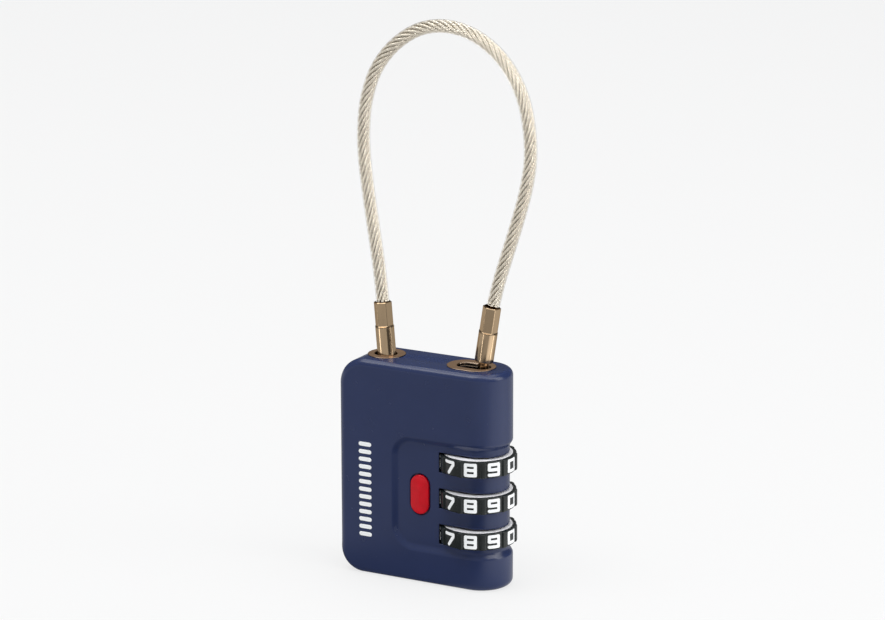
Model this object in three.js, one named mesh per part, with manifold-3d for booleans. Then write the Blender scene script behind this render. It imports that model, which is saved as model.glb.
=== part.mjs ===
// Luggage combination padlock: a satin plastic case with three number dials, a wire-rope shackle that
// swings up about its captive post, a latch worked through a rocking lever, and a key override in the base.
// Millimetres, +Z up, +X towards the dials, -Y is the front. The origin is the centre of the case's base.
import * as THREE from 'three';
import { mergeVertices } from 'three/addons/utils/BufferGeometryUtils.js';
import Module from 'manifold-3d';

const wasm = await Module();
wasm.setup();

// ---- driving dimensions ----
const CASE = {
  width: 33.6,
  thick: 11.7,
  height: 42,
  edge: 1.1, // fillet round every outer edge
  topCorner: 5.6, // large corners on the side away from the dials
  baseCorner: 4.9,
  sideCorner: 1.8,
  wall: 1.8,
  roof: 1.2,
};
const RECESS = { left: -4.6, bottom: 6.8, top: 27.8, corner: 3.4, depth: 0.6 };
const BADGE = { x: 0.65, z: 17.3, radius: 1.9, reach: 1.9, proud: 0.45, sunk: 0.3, margin: 0.25 };
const BASE = { thick: 1.6, reach: 30 };
const SCREW = { places: [-3.6, 4.6], shank: 0.75, head: 1.6, low: 0.15, seat: 0.95, tip: 4.5, drive: 0.22 };
const DIAL = {
  x: 10.15,
  radius: 7.6, // over the ridges between the digits
  flat: 7.31, // at the sides of a digit face
  crown: 0.1, // how far the middle of a digit face stands out
  pitch: 7,
  middle: 17.1,
  bandHalf: 1.6,
  coreHalf: 1.6,
  coreRadius: 6.5,
  slotRadius: 7.8,
  slotHalf: 1.95,
  digits: 10,
};
const CAM = { radius: 3.75, root: 2.85, tooth: 0.5, low: 4.2, high: 2.0, sleeve: 2.4, bore: 1.5 };
const WASHER = { radius: 3.2, low: 1.95, high: 2.45 };
const SPINDLE = { radius: 1.3, low: 3, high: 31.6, plunger: 1.15, plungerLow: 0.4, hole: 1.35 };
const CLIP = { radius: 2.3, low: 29.9, high: 30.3 };
const GAP = 0.15; // between pieces of one body that face each other
const PLATE = { proud: 0.25, radius: 3.58, sleeveDepth: 0.7, sleeveInset: 0.6, holeInset: 0.45 };
const LEFT = { x: -9.33, tilt: -4.76, holeHalf: 2.45, holeRadius: 2.05, caseHole: 3.15 };
const RIGHT = {
  x: 11.2, tilt: 9.2, plateX: 8.78, plateHalf: 4.78,
  holeX: 9.3, holeHalf: 3.35, holeRadius: 1.72,
};
const FITTING = { radius: 1.775, hex: 1.75, hexTurn: 18, pin: 0.95, head: 1.4, flange: 2.35, chamfer: 0.2 };
const CRIMP = { post: [5.35, 10.15], pin: [7.1, 12.15], chamfer: 0.15, mouth: 1.5 };
const CABLE = { radius: 1.25, core: 0.82, lining: 0.97, sides: 8, steps: 48 };
const KEY = { x: -9.3, shell: 3.4, plug: 2.5, low: 0.3, high: 14.6, shellLow: 1.9, shellHigh: 15 };
const WAFER = { first: 3.4, pitch: 2.4, thick: 0.6, play: 0.2, halfWide: 1.3, halfTall: 2.05, slot: 0.6 };
const WAFER_SHIFTS = [0.3, -0.2, 0.1, -0.3]; // where each wafer's key slot lies
const KEY_CAM = { radius: 1.4, low: 15.25, high: 16.9, lobe: 3.1, lobeHalf: 0.9, lobeHigh: 16.4 };
const FRAME = {
  back: 3.85, front: 3.05, left: -5.5, right: 2,
  low: 1.9, high: 37.4, foot: 3.1, footRight: 6.4,
};
const ARMS = { levels: [[28.6, 29.6], [33.4, 34.4]], right: 11.9, left: 1, inner: 1, outer: -3 };
const SPRING_STOP = { left: -5.5, right: -4.9, front: -1.6, low: 36.2, high: 40.4 };
const LEVER = {
  x: 1.9, z: 29.35, top: 9.15, bottom: 2.95,
  tilt: 10.07, eye: 1.5, bore: 0.9, y: [-1.5, -0.8],
};
const LATCH = { left: 2.2, right: 8.4, nose: 9.8, half: 1.6, low: 39.4, noseLow: 39.9, high: 40.5 };
const LATCH_PEG = { radius: 0.5, x: 3.5, z: 38.5, webHalf: 0.6, webLow: 38.2 };
const FENCE = { left: -0.8, right: 1.2, low: 5.4, high: 27.2, tip: 5.85, half: 0.35, tabLow: 26.1, peg: 0.4 };
const FINGER = { low: -3.9, high: -2.4 }; // heights of a fence finger below its dial's middle
const DETENT = {
  left: 0.3, right: 0.6, y: [1.1, 2.8], low: 4.2,
  high: 27.6, nose: 0.85, noseX: 1.3, web: 0.4,
};
const RESET_SPRING = { radius: 1.75, wire: 0.16, turns: 3.5, length: 2.75, z: 30.45 };
const LATCH_SPRING = { radius: 0.85, wire: 0.16, turns: 7, length: 6.4, x: -4.7, z: 39.6 };

// the route of the cable's centre line from the captive post to the locking pin, as x and z
const ROUTE = [
  [-10.15, 52.2], [-10.55, 56], [-11.3, 61.5], [-12.25, 67.5], [-13.2, 73.8], [-13.85, 79.2],
  [-14.0, 84.5], [-13.3, 90.5], [-11.1, 96.4], [-7.2, 101.2], [-1.9, 104.6], [3.5, 105.6],
  [9.0, 104.6], [13.8, 101.8], [17.4, 97.8], [19.7, 93], [20.8, 87.8], [21.0, 82.4],
  [20.1, 76.8], [18.3, 70.4], [16.3, 64.2], [14.6, 58.9], [13.4, 54.4],
];

// ---- looks ----
const finish = (color, roughness, metalness) => (
  new THREE.MeshStandardMaterial({ color, roughness, metalness })
);
const LOOK = {
  navy: finish(0x2e3a60, 0.45, 0),
  black: finish(0x14191b, 0.4, 0),
  white: finish(0xe9e6ea, 0.45, 0),
  bronze: finish(0x9a8668, 0.25, 1),
  rope: finish(0xd9d2c4, 0.35, 0.8),
  clear: finish(0xf2efe8, 0.15, 0),
  zinc: finish(0xa8abad, 0.4, 1),
  steel: finish(0xc4c7ca, 0.3, 1),
  brass: finish(0xb89a58, 0.3, 1),
  red: finish(0xc01828, 0.2, 0),
};

// ---- solids ----
function solid(geometry) {
  const bare = geometry.index ? geometry.toNonIndexed() : geometry.clone();
  bare.deleteAttribute('normal');
  bare.deleteAttribute('uv');
  const merged = mergeVertices(bare, 1e-5);
  return new wasm.Manifold(new wasm.Mesh({
    numProp: 3,
    vertProperties: new Float32Array(merged.attributes.position.array),
    triVerts: new Uint32Array(merged.index.array),
  }));
}

function surface(body) {
  const mesh = body.getMesh();
  const geometry = new THREE.BufferGeometry();
  geometry.setAttribute('position', new THREE.BufferAttribute(new Float32Array(mesh.vertProperties), 3));
  geometry.setIndex(new THREE.BufferAttribute(new Uint32Array(mesh.triVerts), 1));
  const flat = geometry.toNonIndexed();
  flat.computeVertexNormals();
  return flat;
}

const unite = (parts) => parts.reduce((whole, part) => whole.add(part));
const cut = (body, tools) => tools.reduce((left, tool) => left.subtract(tool), body);

function block(x0, x1, y0, y1, z0, z1) {
  const geometry = new THREE.BoxGeometry(x1 - x0, y1 - y0, z1 - z0);
  geometry.translate((x0 + x1) / 2, (y0 + y1) / 2, (z0 + z1) / 2);
  return solid(geometry);
}

function rod(radius, z0, z1, x = 0, y = 0, sides = 24) {
  const geometry = new THREE.CylinderGeometry(radius, radius, z1 - z0, sides);
  geometry.rotateX(Math.PI / 2);
  geometry.translate(x, y, (z0 + z1) / 2);
  return solid(geometry);
}

function pegY(radius, y0, y1, x, z, sides = 12) {
  const geometry = new THREE.CylinderGeometry(radius, radius, y1 - y0, sides);
  geometry.translate(x, (y0 + y1) / 2, z);
  return solid(geometry);
}

// a solid of revolution about Z from pairs of radius and height, listed upwards
function turned(profile, sides = 24) {
  const points = profile.map(([r, z]) => new THREE.Vector2(r, z));
  const geometry = new THREE.LatheGeometry(points, sides);
  geometry.rotateX(Math.PI / 2);
  return solid(geometry);
}

function extruded(shape, depth, bevel, bevelSegments) {
  return new THREE.ExtrudeGeometry(shape, {
    depth: depth - 2 * bevel,
    curveSegments: 8,
    bevelEnabled: bevel > 0,
    bevelThickness: bevel,
    bevelSize: bevel,
    bevelOffset: -bevel,
    bevelSegments,
  });
}

function prism(shape, z0, z1, bevel = 0, bevelSegments = 1) {
  const geometry = extruded(shape, z1 - z0, bevel, bevelSegments);
  geometry.translate(0, 0, z0 + bevel);
  return solid(geometry);
}

// a shape drawn in X and Z, extruded along Y
function prismY(shape, y0, y1, bevel = 0, bevelSegments = 1) {
  const geometry = extruded(shape, y1 - y0, bevel, bevelSegments);
  geometry.rotateX(Math.PI / 2);
  geometry.translate(0, y1 - bevel, 0);
  return solid(geometry);
}

function roundedRect(x0, x1, y0, y1, [lowLeft, lowRight, highRight, highLeft]) {
  const shape = new THREE.Shape();
  const quarter = Math.PI / 2;
  shape.moveTo(x0 + lowLeft, y0);
  shape.lineTo(x1 - lowRight, y0);
  if (lowRight) shape.absarc(x1 - lowRight, y0 + lowRight, lowRight, -quarter, 0);
  shape.lineTo(x1, y1 - highRight);
  if (highRight) shape.absarc(x1 - highRight, y1 - highRight, highRight, 0, quarter);
  shape.lineTo(x0 + highLeft, y1);
  if (highLeft) shape.absarc(x0 + highLeft, y1 - highLeft, highLeft, quarter, 2 * quarter);
  shape.lineTo(x0, y0 + lowLeft);
  if (lowLeft) shape.absarc(x0 + lowLeft, y0 + lowLeft, lowLeft, 2 * quarter, 3 * quarter);
  return shape;
}

function obround(x, halfLength, radius) {
  const shape = new THREE.Shape();
  const reach = halfLength - radius;
  shape.absarc(x + reach, 0, radius, -Math.PI / 2, Math.PI / 2);
  shape.absarc(x - reach, 0, radius, Math.PI / 2, 1.5 * Math.PI);
  return shape;
}

// the case's outline seen from above, moved inwards by inset
function plan(inset) {
  const half = CASE.thick / 2 - inset;
  const left = -CASE.width / 2 + inset;
  const corner = Math.max(CASE.sideCorner - inset, 0.3);
  const centre = CASE.width / 2 - CASE.thick / 2;
  const shape = new THREE.Shape();
  shape.moveTo(left + corner, -half);
  shape.lineTo(centre, -half);
  shape.absarc(centre, 0, half, -Math.PI / 2, Math.PI / 2);
  shape.lineTo(left + corner, half);
  shape.absarc(left + corner, half - corner, corner, Math.PI / 2, Math.PI);
  shape.lineTo(left, -half + corner);
  shape.absarc(left + corner, -half + corner, corner, Math.PI, 1.5 * Math.PI);
  return shape;
}

// ---- the scene ----
const padlock = new THREE.Group();
padlock.name = 'combination_padlock';

function add(name, body, look, home = padlock) {
  const mesh = new THREE.Mesh(surface(body), look);
  mesh.name = name;
  home.add(mesh);
}

// a group whose own +Z runs along one leg of the shackle, with its origin at the top plate
function leg({ x, tilt }) {
  const group = new THREE.Group();
  group.position.set(x, 0, CASE.height);
  group.rotation.y = THREE.MathUtils.degToRad(tilt);
  padlock.add(group);
  return group;
}

// ---- case ----
const dialHeights = [1, 0, -1].map((row) => DIAL.middle + row * DIAL.pitch);
const badgeFace = -CASE.thick / 2 + RECESS.depth;

function makeCase() {
  const far = 30;
  const left = -CASE.width / 2;
  const roof = CASE.height - CASE.roof;
  const faceOutline = roundedRect(left, far, 0, CASE.height, [CASE.baseCorner, 0, 0, CASE.topCorner]);
  const sides = prismY(faceOutline, -CASE.thick / 2, CASE.thick / 2, CASE.edge, 3);
  const outer = prism(plan(0), 0, CASE.height, CASE.edge, 3).intersect(sides);
  const recessCorners = [RECESS.corner, 0, 0, RECESS.corner];
  const recessOutline = roundedRect(RECESS.left, far, RECESS.bottom, RECESS.top, recessCorners);
  const kept = prism(plan(RECESS.depth), 0, CASE.height);
  const recess = prismY(recessOutline, -CASE.thick, CASE.thick).subtract(kept);
  const cornerRoom = CASE.topCorner - CASE.wall;
  const cavityOutline = roundedRect(left + CASE.wall, far, -1, roof, [0, 0, 0, cornerRoom]);
  const cavity = prism(plan(CASE.wall), -1, roof).intersect(prismY(cavityOutline, -far, far));
  const { slotRadius, slotHalf } = DIAL;
  const slots = dialHeights.map((z) => rod(slotRadius, z - slotHalf, z + slotHalf, DIAL.x, 0, 48));
  const above = CASE.height + 1;
  const below = CASE.height - 2;
  const leftHole = rod(LEFT.caseHole, below, above, LEFT.x);
  const pinOutline = obround(RIGHT.plateX, RIGHT.plateHalf - PLATE.holeInset, PLATE.radius - PLATE.holeInset);
  const rightHole = prism(pinOutline, below, above);
  const seatBack = badgeFace + BADGE.sunk + GAP;
  const badgeSeat = prismY(badgeOutline(BADGE.margin), -CASE.thick / 2 - 1, seatBack);
  return cut(outer, [recess, cavity, ...slots, leftHole, rightHole, badgeSeat]);
}

// the badge's outline in X and Z: an upright rounded bar
function badgeOutline(margin) {
  const shape = new THREE.Shape();
  const radius = BADGE.radius + margin;
  shape.absarc(BADGE.x, BADGE.z + BADGE.reach, radius, 0, Math.PI);
  shape.absarc(BADGE.x, BADGE.z - BADGE.reach, radius, Math.PI, 2 * Math.PI);
  return shape;
}

function makeBadge() {
  return prismY(badgeOutline(0), badgeFace - BADGE.proud, badgeFace + BADGE.sunk, 0.3);
}

// the closing plate, cut back where the case's lower corner is round
function makeBase() {
  const across = [-CASE.thick, CASE.thick];
  const left = -CASE.width / 2;
  const plate = prism(plan(CASE.wall + GAP), 0, BASE.thick);
  const edge = roundedRect(left + CASE.wall + GAP, BASE.reach, -1, BASE.thick + 1, [0, 0, 0, 0]);
  const corner = roundedRect(left, BASE.reach, 0, CASE.height, [CASE.baseCorner, 0, 0, 0]);
  const hole = (radius, x) => rod(radius, -1, BASE.thick + 1, x);
  const screwHoles = SCREW.places.flatMap((x) => [
    hole(SCREW.shank + GAP, x),
    rod(SCREW.head + GAP, -1, SCREW.seat + GAP, x),
  ]);
  const trimmed = plate.intersect(prismY(edge, ...across)).intersect(prismY(corner, ...across));
  return cut(trimmed, [hole(KEY.plug + GAP, KEY.x), hole(SPINDLE.hole, DIAL.x), ...screwHoles]);
}

// a cross-head screw pointing up into the frame's foot
function makeScrew(x) {
  const body = turned([
    [0, SCREW.low], [SCREW.head - 0.25, SCREW.low], [SCREW.head, SCREW.low + 0.2], [SCREW.head, SCREW.seat],
    [SCREW.shank, SCREW.seat], [SCREW.shank, SCREW.tip], [0, SCREW.tip],
  ], 20);
  const bar = (halfX, halfY) => block(-halfX, halfX, -halfY, halfY, 0, 0.6);
  const cross = bar(1, SCREW.drive).add(bar(SCREW.drive, 1));
  return body.subtract(cross).translate([x, 0, 0]);
}

// ---- dials: the black band, the white core and the cam sleeve that turn together ----
function makeBand(z) {
  const step = (2 * Math.PI) / DIAL.digits;
  const shape = new THREE.Shape();
  for (let digit = 0; digit < DIAL.digits; digit++) {
    const middle = digit * step;
    const marks = [
      [-0.5, DIAL.radius], [-0.42, DIAL.radius], [-0.34, DIAL.flat],
      [0, DIAL.flat + DIAL.crown], [0.34, DIAL.flat], [0.42, DIAL.radius],
    ];
    for (const [share, radius] of marks) {
      const angle = middle + share * step;
      const x = radius * Math.cos(angle);
      const y = radius * Math.sin(angle);
      if (digit === 0 && share === -0.5) shape.moveTo(x, y);
      else shape.lineTo(x, y);
    }
  }
  const band = prism(shape, z - DIAL.bandHalf, z + DIAL.bandHalf, 0.25);
  return band.translate([DIAL.x, 0, 0]).subtract(rod(DIAL.coreRadius + GAP, z - 3, z + 3, DIAL.x, 0, 40));
}

function makeCore(z) {
  const disc = rod(DIAL.coreRadius, z - DIAL.coreHalf, z + DIAL.coreHalf, DIAL.x, 0, 40);
  return disc.subtract(rod(CAM.sleeve + GAP, z - 3, z + 3, DIAL.x));
}

// nine teeth and one open gate, which faces the fence when the dial shows 0 at the side of the case
function makeCam(z) {
  const low = z - CAM.low;
  const high = z - CAM.high;
  const hub = rod(CAM.root, low, high);
  const sleeve = rod(CAM.sleeve, low, z + 1.6);
  const teeth = [];
  for (let n = 1; n < DIAL.digits; n++) {
    const tooth = block(CAM.root - 0.5, CAM.radius, -CAM.tooth / 2, CAM.tooth / 2, low, high);
    teeth.push(tooth.rotate([0, 0, 180 + (n * 360) / DIAL.digits]));
  }
  const whole = unite([hub, sleeve, ...teeth]);
  return whole.subtract(rod(CAM.bore, low - 1, z + 3)).translate([DIAL.x, 0, 0]);
}

function makeWasher(z) {
  const bore = rod(CAM.bore, z, z + 4, DIAL.x);
  return rod(WASHER.radius, z + WASHER.low, z + WASHER.high, DIAL.x).subtract(bore);
}

function makeClip() {
  const bore = rod(SPINDLE.radius + GAP, CLIP.low - 1, CLIP.high + 1, DIAL.x);
  return rod(CLIP.radius, CLIP.low, CLIP.high, DIAL.x).subtract(bore);
}

// ---- springs: a round wire wound about +Z ----
function coil({ radius, wire, turns, length }) {
  class Helix extends THREE.Curve {
    getPoint(t, target = new THREE.Vector3()) {
      const angle = 2 * Math.PI * turns * t;
      return target.set(radius * Math.cos(angle), radius * Math.sin(angle), wire + (length - 2 * wire) * t);
    }
  }
  return sweep(new Helix(), disc(wire, 5), Math.round(turns * 9));
}

function disc(radius, sides, turn = 0) {
  const shape = new THREE.Shape();
  for (let n = 0; n < sides; n++) {
    const angle = (2 * Math.PI * n) / sides + THREE.MathUtils.degToRad(turn);
    if (n) shape.lineTo(radius * Math.cos(angle), radius * Math.sin(angle));
    else shape.moveTo(radius * Math.cos(angle), radius * Math.sin(angle));
  }
  return shape;
}

function sweep(path, shape, steps) {
  return solid(new THREE.ExtrudeGeometry(shape, { extrudePath: path, steps, bevelEnabled: false }));
}

// ---- shackle ----
function makePlate(x, halfLength, hole) {
  const flange = prism(obround(x, halfLength, PLATE.radius), CASE.height, CASE.height + PLATE.proud);
  const sleeveOutline = obround(x, halfLength - PLATE.sleeveInset, PLATE.radius - PLATE.sleeveInset);
  const sleeve = prism(sleeveOutline, CASE.height - PLATE.sleeveDepth, CASE.height + 0.1);
  return flange.add(sleeve).subtract(prism(hole, CASE.height - 10, CASE.height + 10));
}

// the post that stays in the case, held by the flange at its foot
function makePost() {
  const { radius, flange, chamfer } = FITTING;
  return turned([
    [0, -3.6], [flange - chamfer, -3.6], [flange, -3.4], [flange, -2.9], [flange - 0.3, -2.7], [radius, -2.6],
    [radius, 5.2 - 0.15], [radius - chamfer, 5.2], [0, 5.2],
  ]);
}

// the pin that locks, with a waist and a pointed head under its round body
function makePin() {
  const { radius, pin, head, chamfer } = FITTING;
  return turned([
    [0, -5.6], [head - 0.55, -5.6], [head, -5.1], [head, -4.6], [pin, -2.7], [pin, 1.3],
    [radius - chamfer, 1.3], [radius, 1.5], [radius, 6.95 - 0.15], [radius - chamfer, 6.95], [0, 6.95],
  ]);
}

// a hexagonal crimp between two heights, with the cable's end let into its mouth
function makeCrimp([low, high]) {
  const body = prism(disc(FITTING.hex, 6, FITTING.hexTurn), low, high, CRIMP.chamfer);
  const mouth = rod(CABLE.radius + GAP, high - CRIMP.mouth, high + 1);
  return body.subtract(mouth);
}

function makeCable(shape) {
  const points = ROUTE.map(([x, z]) => new THREE.Vector3(x, 0, z));
  return sweep(new THREE.CatmullRomCurve3(points, false, 'centripetal'), shape, CABLE.steps);
}

// ---- mechanism ----
// the sheet frame that carries the spindle's upper end, the lever and the latch spring
function makeFrame() {
  const { back, front, left, right, low, high, foot, footRight } = FRAME;
  const web = block(left, right, front, back, low, high);
  const sole = block(left, footRight, -3.6, back, low, foot);
  const arms = ARMS.levels.flatMap(([under, over]) => [
    block(ARMS.left, ARMS.right, ARMS.inner, back, under, over),
    block(footRight, ARMS.right, ARMS.outer, back, under, over),
  ]);
  const stop = SPRING_STOP;
  const springStop = block(stop.left, stop.right, stop.front, back, stop.low, stop.high);
  const leverPost = pegY(0.7, -1.8, front + 0.1, LEVER.x, LEVER.z);
  const spindleHole = rod(CAM.bore, ARMS.levels[0][0] - 1, ARMS.levels[0][1] + 1, DIAL.x);
  const screwHoles = SCREW.places.map((x) => rod(SCREW.shank + GAP, low - 1, foot + 1, x));
  return cut(unite([web, sole, ...arms, springStop, leverPost]), [spindleHole, ...screwHoles]);
}

// the bolt that holds the pin's head, with a peg for the lever underneath
function makeLatch() {
  const { left, right, nose, half, low, noseLow, high } = LATCH;
  const { radius, x, z, webHalf, webLow } = LATCH_PEG;
  const body = block(left, right, -half, half, low, high);
  const tip = block(right - 0.4, nose, -half, half, noseLow, high);
  const peg = pegY(radius, -1.15, -0.2, x, z);
  const web = block(x - webHalf, x + webHalf, -0.6, 0.2, webLow, low + 0.2);
  return unite([body, tip, peg, web]);
}

// the rocking lever, upright about its own pivot, with a slot at each end for a peg
function makeLever() {
  const { top, bottom, eye, bore, y, tilt } = LEVER;
  const arm = (length, width) => block(-width / 2, width / 2, ...y, 0, length);
  const hub = pegY(eye, ...y, 0, 0, 18);
  const upper = arm(top + 0.6, 2.4);
  const lower = arm(bottom + 0.7, 2.0).rotate([0, 180, 0]);
  const upperSlot = block(-0.75, 0.75, -3, 3, top - 1, top + 3);
  const lowerSlot = block(-0.6, 0.6, -3, 3, -bottom - 3, -bottom + 0.75);
  const upright = cut(unite([hub, upper, lower]), [upperSlot, lowerSlot, pegY(bore, -3, 3, 0, 0)]);
  return upright.rotate([0, tilt, 0]).translate([LEVER.x, 0, LEVER.z]);
}

// the fence: a spine with one finger for each dial's gate and a peg for the lever
function makeFence() {
  const { left, right, low, high, tip, half, tabLow, peg } = FENCE;
  const spine = block(left, right, -half, half, low, high);
  const fingers = dialHeights.map((z) => block(0, tip, -half, half, z + FINGER.low, z + FINGER.high));
  const pegX = LEVER.x - LEVER.bottom * Math.tan(THREE.MathUtils.degToRad(LEVER.tilt));
  const tab = block(0, pegX + 0.5, -half, half, tabLow, high);
  return unite([spine, tab, ...fingers, pegY(peg, -1.6, -half + 0.1, pegX, LEVER.z - LEVER.bottom)]);
}

// a leaf spring with a round nose that rests between two ridges of each dial
function makeDetentSpring() {
  const { left, right, y, low, high, nose, noseX, web } = DETENT;
  const strip = block(left, right, ...y, low, high);
  const noses = dialHeights.map((z) => {
    const band = block(left + 0.1, noseX + 2, 0, y[1] + 1, z - 2, z + 2);
    return pegY(nose, ...y, noseX, z).intersect(band);
  });
  const webs = dialHeights.map((z) => block(left + 0.1, noseX, ...y, z - web, z + web));
  return unite([strip, ...noses, ...webs]);
}

// ---- key override ----
function makeKeyShell() {
  const bore = rod(KEY.plug + GAP, KEY.shellLow - 1, KEY.shellHigh + 1, KEY.x);
  return rod(KEY.shell, KEY.shellLow, KEY.shellHigh, KEY.x).subtract(bore);
}

const waferHeight = (n) => WAFER.first + n * WAFER.pitch;

function makeKeyPlug() {
  const plug = rod(KEY.plug, KEY.low, KEY.high, KEY.x);
  const way = block(KEY.x - 0.5, KEY.x + 0.5, -1.9, 1.9, -1, KEY.high - 2);
  const half = WAFER.halfWide + WAFER.play;
  const pockets = WAFER_SHIFTS.map((_, n) => {
    const z = waferHeight(n);
    return block(KEY.x - half, KEY.x + half, -4, 4, z, z + WAFER.thick + 2 * WAFER.play);
  });
  return cut(plug, [way, ...pockets]);
}

function makeWafer(shift, n) {
  const { halfWide, halfTall, thick, play, slot } = WAFER;
  const z = waferHeight(n) + play;
  const leaf = block(KEY.x - halfWide, KEY.x + halfWide, -halfTall, halfTall, z, z + thick);
  const keySlot = block(KEY.x - slot, KEY.x + slot, -halfWide + shift, halfWide + shift, z - 1, z + 2);
  return leaf.subtract(keySlot);
}

function makeKeyCam() {
  const { radius, low, high, lobe, lobeHalf, lobeHigh } = KEY_CAM;
  const tail = block(KEY.x, KEY.x + lobe, -lobeHalf, lobeHalf, low, lobeHigh);
  return rod(radius, low, high, KEY.x, 0, 20).add(tail);
}

// ---- build ----
add('case_shell', makeCase(), LOOK.navy);
add('base_cover', makeBase(), LOOK.navy);
SCREW.places.forEach((x, n) => add(`base_screw_${n + 1}`, makeScrew(x), LOOK.steel));
add('badge', makeBadge(), LOOK.red);

const postHole = obround(LEFT.x, LEFT.holeHalf, LEFT.holeRadius);
add('post_plate', makePlate(LEFT.x, PLATE.radius, postHole), LOOK.bronze);
const pinHole = obround(RIGHT.holeX, RIGHT.holeHalf, RIGHT.holeRadius);
add('pin_plate', makePlate(RIGHT.plateX, RIGHT.plateHalf, pinHole), LOOK.bronze);

const leftLeg = leg(LEFT);
add('captive_post', makePost(), LOOK.bronze, leftLeg);
add('captive_crimp', makeCrimp(CRIMP.post), LOOK.bronze, leftLeg);
const rightLeg = leg(RIGHT);
add('locking_pin', makePin(), LOOK.bronze, rightLeg);
add('pin_crimp', makeCrimp(CRIMP.pin), LOOK.bronze, rightLeg);
const sheathRing = disc(CABLE.radius, CABLE.sides);
sheathRing.holes.push(disc(CABLE.lining, CABLE.sides));
add('cable_sheath', makeCable(sheathRing), LOOK.clear);
add('cable_rope', makeCable(disc(CABLE.core, CABLE.sides)), LOOK.rope);

const rows = ['top', 'middle', 'bottom'];
dialHeights.forEach((z, n) => {
  add(`dial_band_${rows[n]}`, makeBand(z), LOOK.black);
  add(`dial_core_${rows[n]}`, makeCore(z), LOOK.white);
  add(`dial_cam_${rows[n]}`, makeCam(z), LOOK.brass);
  add(`dial_washer_${rows[n]}`, makeWasher(z), LOOK.steel);
});

add('reset_spindle', rod(SPINDLE.radius, SPINDLE.low, SPINDLE.high, DIAL.x), LOOK.steel);
const plunger = rod(SPINDLE.plunger, SPINDLE.plungerLow, SPINDLE.low - GAP, DIAL.x);
add('reset_plunger', plunger, LOOK.steel);
add('spindle_clip', makeClip(), LOOK.steel);
add('reset_spring', coil(RESET_SPRING).translate([DIAL.x, 0, RESET_SPRING.z]), LOOK.steel);

add('mechanism_frame', makeFrame(), LOOK.zinc);
add('detent_spring', makeDetentSpring(), LOOK.steel);
add('latch_bolt', makeLatch(), LOOK.zinc);
const latchSpring = coil(LATCH_SPRING).rotate([0, 90, 0]).translate([LATCH_SPRING.x, 0, LATCH_SPRING.z]);
add('latch_spring', latchSpring, LOOK.steel);
add('fence_plate', makeFence(), LOOK.steel);
add('release_lever', makeLever(), LOOK.steel);

add('key_shell', makeKeyShell(), LOOK.brass);
add('key_plug', makeKeyPlug(), LOOK.brass);
WAFER_SHIFTS.forEach((shift, n) => add(`key_wafer_${n + 1}`, makeWafer(shift, n), LOOK.steel));
add('key_cam', makeKeyCam(), LOOK.zinc);

export default padlock;
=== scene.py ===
"""The looks of a luggage combination padlock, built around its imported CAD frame.

Shapes are worked out in millimetres in the row frame and become metres where a mesh is made.
+Z is up, +X points to the dials and -Y is the front.
"""
import math

import bmesh
import bpy
import numpy as np
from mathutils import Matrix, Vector


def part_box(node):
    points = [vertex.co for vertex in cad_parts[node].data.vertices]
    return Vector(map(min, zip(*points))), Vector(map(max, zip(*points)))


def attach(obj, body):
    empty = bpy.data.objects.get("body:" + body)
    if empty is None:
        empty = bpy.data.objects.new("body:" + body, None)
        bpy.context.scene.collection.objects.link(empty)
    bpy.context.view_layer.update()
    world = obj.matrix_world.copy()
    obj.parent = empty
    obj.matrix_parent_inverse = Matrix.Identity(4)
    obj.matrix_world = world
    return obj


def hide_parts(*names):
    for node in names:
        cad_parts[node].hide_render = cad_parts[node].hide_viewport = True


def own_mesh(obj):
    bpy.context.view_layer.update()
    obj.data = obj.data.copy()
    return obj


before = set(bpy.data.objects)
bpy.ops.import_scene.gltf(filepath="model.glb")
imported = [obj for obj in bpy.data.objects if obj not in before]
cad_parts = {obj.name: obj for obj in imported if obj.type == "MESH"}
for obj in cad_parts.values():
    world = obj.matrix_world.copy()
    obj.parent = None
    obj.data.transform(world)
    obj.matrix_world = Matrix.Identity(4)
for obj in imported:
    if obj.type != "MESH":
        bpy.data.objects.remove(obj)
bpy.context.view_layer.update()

MM = 0.001


def box_mm(node):
    """Lowest and highest corner of a CAD node, in millimetres."""
    low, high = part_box(node)
    return np.array(low) / MM, np.array(high) / MM


# ---- driving dimensions, from the frame where it has them ----
CASE_LOW, CASE_HIGH = box_mm("case_shell")
HALF_THICK = CASE_HIGH[1]
END_X = CASE_HIGH[0] - HALF_THICK  # centre of the rounded end
TOP = CASE_HIGH[2]
TOP_CORNER = 5.6  # the outline's corners away from the dials
BASE_CORNER = 4.9
EDGE = 1.3  # fillet round the outer edges
SIDE_EDGE = 1.8  # fillet of the upright edges away from the dials
UPRIGHT = {"reach": 3.2, "fade": 2.6, "end": 1, "end_fade": 5}  # where the upright edges' fillet holds
DISH = {"depth": 0.3, "half": 2.4, "left": -6.2, "right": 4.4, "fade": 2}  # the shallow dip in the top
WALL = 1.8
ROOF = 1.2
FAR = 30.0  # beyond the rounded end, where outlines stay open
GAP = 0.15  # between the cover and the case, the key plug and the screws

PANEL = {"left": -4.6, "low": 6.8, "high": 27.8, "low_corner": 4.1, "high_corner": 3.4,
         "depth": 0.6, "ramp": 1.4}
PANEL_Y = -HALF_THICK + PANEL["depth"]
BADGE = {"x": 0.65, "z": 17.3, "radius": 1.9, "reach": 1.9, "margin": 0.25,
         "proud": 0.25, "sunk": 0.3, "seat": 0.5, "bow": 0.28}
PRINT = {"x": -10.85, "low": 7.9, "high": 25.6, "bars": 13, "half": 1.35, "radius": 0.4, "ink": 0.03}

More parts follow.
